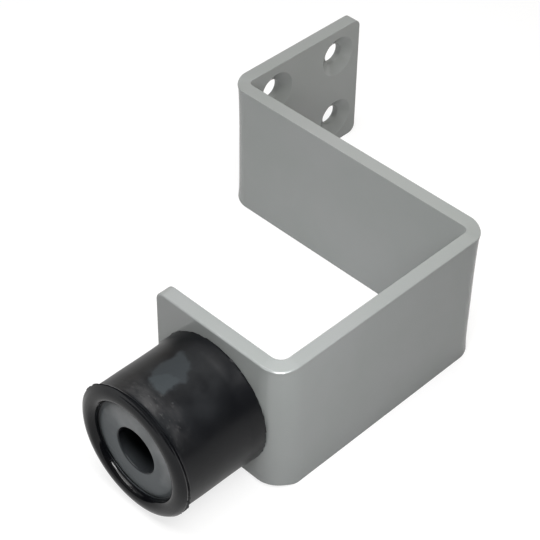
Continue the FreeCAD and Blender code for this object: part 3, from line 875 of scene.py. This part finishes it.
def moulded_rubber():
    """Carbon-black rubber, pressed in a steel mould: bluish black, polished by the mould on its lip.

    The sunk end face is dull and grey with wax bloom, painted paler towards its top as painted light.
    Two patches of painted softbox reflection, in a soft painted sheen, lie on the upper side, and the
    bore's wall is painted lighter low down near its mouth as painted light. Dust and pale scuffs gather
    behind the lip, where the buffer was handled.
    """
    material, tree, surface, spot = new_material("moulded_black_rubber")
    surface.inputs["IOR"].default_value = 1.52
    surface.inputs["Specular IOR Level"].default_value = 0.24
    local = add(tree, "ShaderNodeMapping", {
        "Vector": spot, "Location": (PLATE_FACE, -AXIS_Y, -AXIS_Z), "Scale": (-1 / MM, 1 / MM, 1 / MM)})
    at = add(tree, "ShaderNodeSeparateXYZ", {"Vector": local})
    height, sideways, up = at.outputs["X"], at.outputs["Y"], at.outputs["Z"]
    radius = add(tree, "ShaderNodeVectorMath", (local, (0.0, 1.0, 1.0)), operation="MULTIPLY")
    radius = add(tree, "ShaderNodeVectorMath", (radius,), operation="LENGTH").outputs["Value"]
    turn = add(tree, "ShaderNodeMath", (sideways, up), operation="ARCTAN2")
    around = add(tree, "ShaderNodeMath", (turn, SIDE_SECTION[5][0]), operation="MULTIPLY")
    wander = add(tree, "ShaderNodeTexNoise", {"Vector": local, "Scale": 0.4, "Detail": 3.0})
    rolled = add(tree, "ShaderNodeCombineXYZ", {"X": around, "Y": height})
    shifted = add(tree, "ShaderNodeVectorMath", (wander.outputs["Color"], (0.5, 0.5, 0.5)),
                  operation="SUBTRACT")
    shifted = add(tree, "ShaderNodeVectorMath", (shifted, (2.4, 2.4, 0.0), rolled),
                  operation="MULTIPLY_ADD")

    def within(*fades):
        """Where several fades all hold. Each is a value, with where it is 0 and where it is 1."""
        share = 1.0
        for value, none, full in fades:
            fade = add(tree, "ShaderNodeMapRange", {"Value": value, "From Min": none, "From Max": full})
            share = add(tree, "ShaderNodeMath", (share, fade), operation="MULTIPLY")
        return share

    # Each layer is a colour and the mask through which it lies on those before it.
    layers = []
    cloud = cloudy(tree, local, 7.0, 0.3, 0.7, detail=3.0)
    # A soft painted sheen round the painted reflection patches on the upper side.
    painted_sheen = add(tree, "ShaderNodeVectorMath", (shifted, (-3.0, 16.0, 0.0)), operation="DISTANCE")
    painted_sheen = add(tree, "ShaderNodeMapRange", {
        "Value": painted_sheen.outputs["Value"], "From Min": 18.0, "From Max": 4.0},
        interpolation_type="SMOOTHSTEP")
    layers.append(("212325", add(tree, "ShaderNodeMath", (painted_sheen, cloud), operation="MULTIPLY")))
    # Two patches of painted softbox reflection, each a polygon of fades.
    for colour, corners in PAINTED_REFLECTION_PATCHES:
        fades = []
        for start, end in zip(corners, corners[1:] + corners[:1]):
            along = (Vector(end) - Vector(start)).normalized()
            inward = (along.y, -along.x, 0.0)
            depth = add(tree, "ShaderNodeVectorMath", (shifted, inward), operation="DOT_PRODUCT")
            edge = Vector(inward[:2]).dot(start)
            fades.append((depth.outputs["Value"], edge - 0.4, edge + 0.5))
        layers.append((colour, within(*fades)))

    # Hands and dust reach the upper side behind the lip.
    handled = within(
        (height, 17.5, 24.0), (height, 24.6, 24.2), (around, -18.0, -8.0), (around, 12.0, 0.0))
    stretched = add(tree, "ShaderNodeMapping", {"Vector": rolled, "Scale": (0.5, 1.0, 1.0)})
    for colour, size, low, high in (("3b3b3c", 3.4, 0.42, 0.62), ("4a4a4a", 0.8, 0.58, 0.74)):
        scuff = cloudy(tree, stretched, size, low, high, detail=4.0)
        layers.append((colour, add(tree, "ShaderNodeMath", (scuff, handled), operation="MULTIPLY")))
    speck = add(tree, "ShaderNodeTexVoronoi", {"Vector": local, "Scale": 1 / 3.6})
    speck = add(tree, "ShaderNodeMapRange", {
        "Value": speck.outputs["Distance"], "From Min": 0.09, "From Max": 0.04, "To Max": 0.7})
    layers.append(("6c7072", add(tree, "ShaderNodeMath", (speck, handled), operation="MULTIPLY")))

    # The end face, between the bore's mouth and the lip.
    face = within(
        (height, DISC_HEIGHT - 1.0, DISC_HEIGHT - 0.7), (height, DISC_HEIGHT + 0.14, DISC_HEIGHT + 0.03),
        (radius, BORE_RADIUS + 0.1, BORE_RADIUS + BORE_MOUTH_ROUNDING),
        (radius, LIP_INNER_RADIUS - 0.05, LIP_INNER_RADIUS - 0.5))
    layers.append(("575c5f", face))
    # The end face's bloom is mottled, and painted paler towards its top: painted light.
    bloom_and_painted_light = add(tree, "ShaderNodeVectorMath", (local, (0.0, -0.04, 0.09)), operation="DOT_PRODUCT")
    bloom_and_painted_light = add(tree, "ShaderNodeMath", (bloom_and_painted_light.outputs["Value"], cloud), operation="ADD")
    bloom_and_painted_light = add(tree, "ShaderNodeMapRange", {"Value": bloom_and_painted_light, "From Min": 0.4, "From Max": 1.6})
    layers.append(("828587", add(tree, "ShaderNodeMath", (bloom_and_painted_light, face), operation="MULTIPLY")))

    # The bore's wall is painted greyer low down near its mouth, painted light on the wall that faces up.
    layers.append(("34373a", within(
        (radius, BORE_RADIUS + 0.4, BORE_RADIUS + 0.1), (height, 20.5, 24.0), (up, 1.0, -5.0))))

    paint(tree, surface, "0b0c0f", layers)

    polish = add(tree, "ShaderNodeMapRange", {
        "Value": height, "From Min": DISC_HEIGHT - 0.6, "From Max": DISC_HEIGHT + 0.2,
        "To Min": 0.32, "To Max": 0.08})
    mottle = add(tree, "ShaderNodeMath", (cloud, 0.06, polish), operation="MULTIPLY_ADD")
    dull = add(tree, "ShaderNodeMath", (face, 0.3, mottle), operation="MULTIPLY_ADD")
    connect(tree, dull, surface, "Roughness")
    dent = add(tree, "ShaderNodeBump", {
        "Height": wander, "Strength": 0.3, "Distance": 0.05 * MM,
        "Normal": grainy(tree, local, 0.6, 2.0, 0.1, 0.01)})
    connect(tree, dent, surface, "Normal")
    return material


def zinc_plate():
    """Bright zinc plated over steel: a bluish silver with a cloudy, finely scratched sheen."""
    material, tree, surface, spot = new_material("zinc_plated_steel_hardware")
    surface.inputs["Metallic"].default_value = 1.0
    paint(tree, surface, "b9bec4", [("cdd0d0", cloudy(tree, spot, 2.5 * MM, 0.3, 0.7))])
    wear = cloudy(tree, spot, 0.8 * MM, 0.3, 0.7, 0.22, 0.42, detail=4.0)
    connect(tree, wear, surface, "Roughness")
    connect(tree, grainy(tree, spot, 0.25 * MM, 4.0, 0.3, 0.01), surface, "Normal")
    return material


def moulded_nylon():
    """Nylon ring pressed into the lock nut: milky, slightly see-through plastic."""
    material, tree, surface, spot = new_material("moulded_nylon_ring")
    surface.inputs["IOR"].default_value = 1.53
    surface.inputs["Roughness"].default_value = 0.4
    surface.inputs["Subsurface Weight"].default_value = 0.3
    surface.inputs["Subsurface Scale"].default_value = 1.0 * MM
    cloud = add(tree, "ShaderNodeTexNoise", {"Vector": spot, "Scale": 1 / (1.5 * MM)})
    paint(tree, surface, "d9dad2", [("e6e6df", cloud)])
    return material


# Studio


def add_softbox(name, target, azimuth, elevation, distance, width, height, power):
    """Soft lamp, aimed at a target. Azimuth 0 is +X, 90 is the wall side. Lengths are millimetres."""
    lamp = bpy.data.objects.new(name, bpy.data.lights.new(name, "AREA"))
    bpy.context.scene.collection.objects.link(lamp)
    lamp.data.shape = "RECTANGLE"
    lamp.data.size = width * MM
    lamp.data.size_y = height * MM
    lamp.data.energy = power
    lamp.visible_camera = False
    away = Vector((1, 0, 0))
    away.rotate(Matrix.Rotation(math.radians(-elevation), 3, "Y"))
    away.rotate(Matrix.Rotation(math.radians(azimuth), 3, "Z"))
    aim = (-away).to_track_quat("-Z", "Y").to_matrix().to_4x4()
    lamp.matrix_world = Matrix.Translation((Vector(target) + away * distance) * MM) @ aim
    return lamp


def make_lights():
    """Large soft lamps, a long strip that draws the bright edges, and three small lamps close by.

    Two of the small ones brighten the arm's top and the last bend, and aren't seen in reflections. The
    third is only seen in them: it draws the bend's glint, and its narrow beam misses the flange.
    """
    middle = (-55.0, -45.0, 0.0)
    arm_top = (-20.0, -50.0, 20.0)
    bend = (-92.0, -84.0, 0.0)
    beside_bend = (-108.0, -75.5, 0.0)
    # After each target: azimuth, elevation, distance, width, height and watts.
    add_softbox("overhead_softbox", middle, -165, 78, 500, 350, 350, 1.78)
    add_softbox("wall_side_softbox", middle, 90, 65, 500, 500, 500, 0.55)
    add_softbox("left_softbox", middle, 160, 28, 400, 250, 250, 0.03)
    add_softbox("long_strip", middle, -170, 60, 400, 600, 15, 0.32)
    top_lamp = add_softbox("top_lamp", arm_top, -18, 71, 95, 80, 80, 0.06)
    top_lamp.data.color = linear("fffaf2")[:3]
    top_lamp.visible_glossy = False
    bend_lamp = add_softbox("bend_lamp", bend, -130, 56, 110, 38, 38, 0.08)
    bend_lamp.visible_glossy = False
    glint_lamp = add_softbox("glint_lamp", beside_bend, -113, 57, 110, 38, 38, 0.0122)
    glint_lamp.visible_diffuse = False
    glint_lamp.data.spread = math.radians(66)


def make_world():
    """Dim room, brighter and slightly warm on the left, with a pale backdrop behind the wall side.

    The camera sees it white.
    """
    world = bpy.data.worlds.new("studio")
    bpy.context.scene.world = world
    tree = bare_tree(world)
    ray = add(tree, "ShaderNodeLightPath")
    direction = add(tree, "ShaderNodeTexCoord").outputs["Generated"]
    window = ((-0.74, 0.0, 0.67), 0.6, 0.95, 0.03, 0.2)
    backdrop = ((0.54, 0.84, 0.1), 0.85, 0.98, 0.0, 0.4)
    glow = 0.0
    for way, rim, full, dim, bright in (window, backdrop):
        facing = add(tree, "ShaderNodeVectorMath", (direction, way), operation="DOT_PRODUCT")
        patch = add(tree, "ShaderNodeMapRange", {
            "Value": facing.outputs["Value"], "From Min": rim, "From Max": full,
            "To Min": dim, "To Max": bright})
        glow = add(tree, "ShaderNodeMath", (glow, patch), operation="ADD")
    light = add(tree, "ShaderNodeBackground", {"Color": linear("fff6ea"), "Strength": glow})
    seen = add(tree, "ShaderNodeBackground", {"Color": linear("ffffff"), "Strength": 1.0})
    mixed = add(tree, "ShaderNodeMixShader", {0: ray.outputs["Is Camera Ray"], 1: light, 2: seen})
    add(tree, "ShaderNodeOutputWorld", {"Surface": mixed})


def make_floor():
    """White table under the bar. The camera sees it lifted to white, with its shadow.

    Reflections see it lifted too, and brighter further off; the weaker lift near the bar is painted
    shade.
    """
    mesh = bpy.data.meshes.new("floor")
    reach = 4.0
    corners = [(-reach, -reach), (reach, -reach), (reach, reach), (-reach, reach)]
    mesh.from_pydata([(x, y, floor_level * MM) for x, y in corners], [], [(0, 1, 2, 3)])
    floor = new_piece("floor", mesh)
    material = bpy.data.materials.new("white_table")
    tree = bare_tree(material)
    ray = add(tree, "ShaderNodeLightPath")
    mirrored = add(tree, "ShaderNodeMath", (
        ray.outputs["Is Glossy Ray"], ray.outputs["Is Transmission Ray"]), operation="MAXIMUM")
    seen = add(tree, "ShaderNodeMath", (mirrored, ray.outputs["Is Camera Ray"]), operation="MAXIMUM")
    away = add(tree, "ShaderNodeTexCoord").outputs["Object"]
    away = add(tree, "ShaderNodeVectorMath", (away,), operation="LENGTH").outputs["Value"]
    whitest = add(tree, "ShaderNodeMapRange", {
        "Value": away, "From Min": 0.15, "From Max": 0.5, "To Min": 0.78, "To Max": 1.0})
    lifted = add(tree, "ShaderNodeMath", (ray.outputs["Is Camera Ray"], whitest), operation="MULTIPLY")
    # In reflections the floor's lift is weaker near the bar: painted shade.
    mirrored_lift_with_painted_shade = add(tree, "ShaderNodeMapRange", {
        "Value": away, "From Min": 0.12, "From Max": 0.4, "To Min": 0.38, "To Max": 0.9})
    lifted = add(tree, "ShaderNodeMath", (mirrored, mirrored_lift_with_painted_shade, lifted), operation="MULTIPLY_ADD")
    shade = add(tree, "ShaderNodeMix", {"Factor": seen, "A": linear("e6e6e6"), "B": linear("8c8c8c")},
                data_type="RGBA").outputs["Result"]
    paper = add(tree, "ShaderNodeBsdfDiffuse", {"Color": shade})
    lift = add(tree, "ShaderNodeEmission", {"Color": linear("ffffff"), "Strength": lifted})
    both = add(tree, "ShaderNodeAddShader", {0: paper, 1: lift})
    add(tree, "ShaderNodeOutputMaterial", {"Surface": both})
    mesh.materials.append(material)


make_camera()
grey_coat = powder_coat()
black_rubber = moulded_rubber()
zinc = zinc_plate()
nylon = moulded_nylon()
make_bracket(grey_coat)
make_rubber_buffer(black_rubber)
make_cap_screw(zinc)
softened("bore_washer", "bore_washer_plated", "zinc_plated_steel", zinc, 0.15)
softened("back_washer", "back_washer_plated", "zinc_plated_steel", zinc, 0.15)
softened("lock_nut", "lock_nut_plated", "zinc_plated_steel", zinc, 0.12)
softened("nut_ring", "nut_ring_pressed", "nylon", nylon, 0.1)
make_lights()
make_world()
make_floor()
bpy.context.scene.view_settings.view_transform = "Standard"
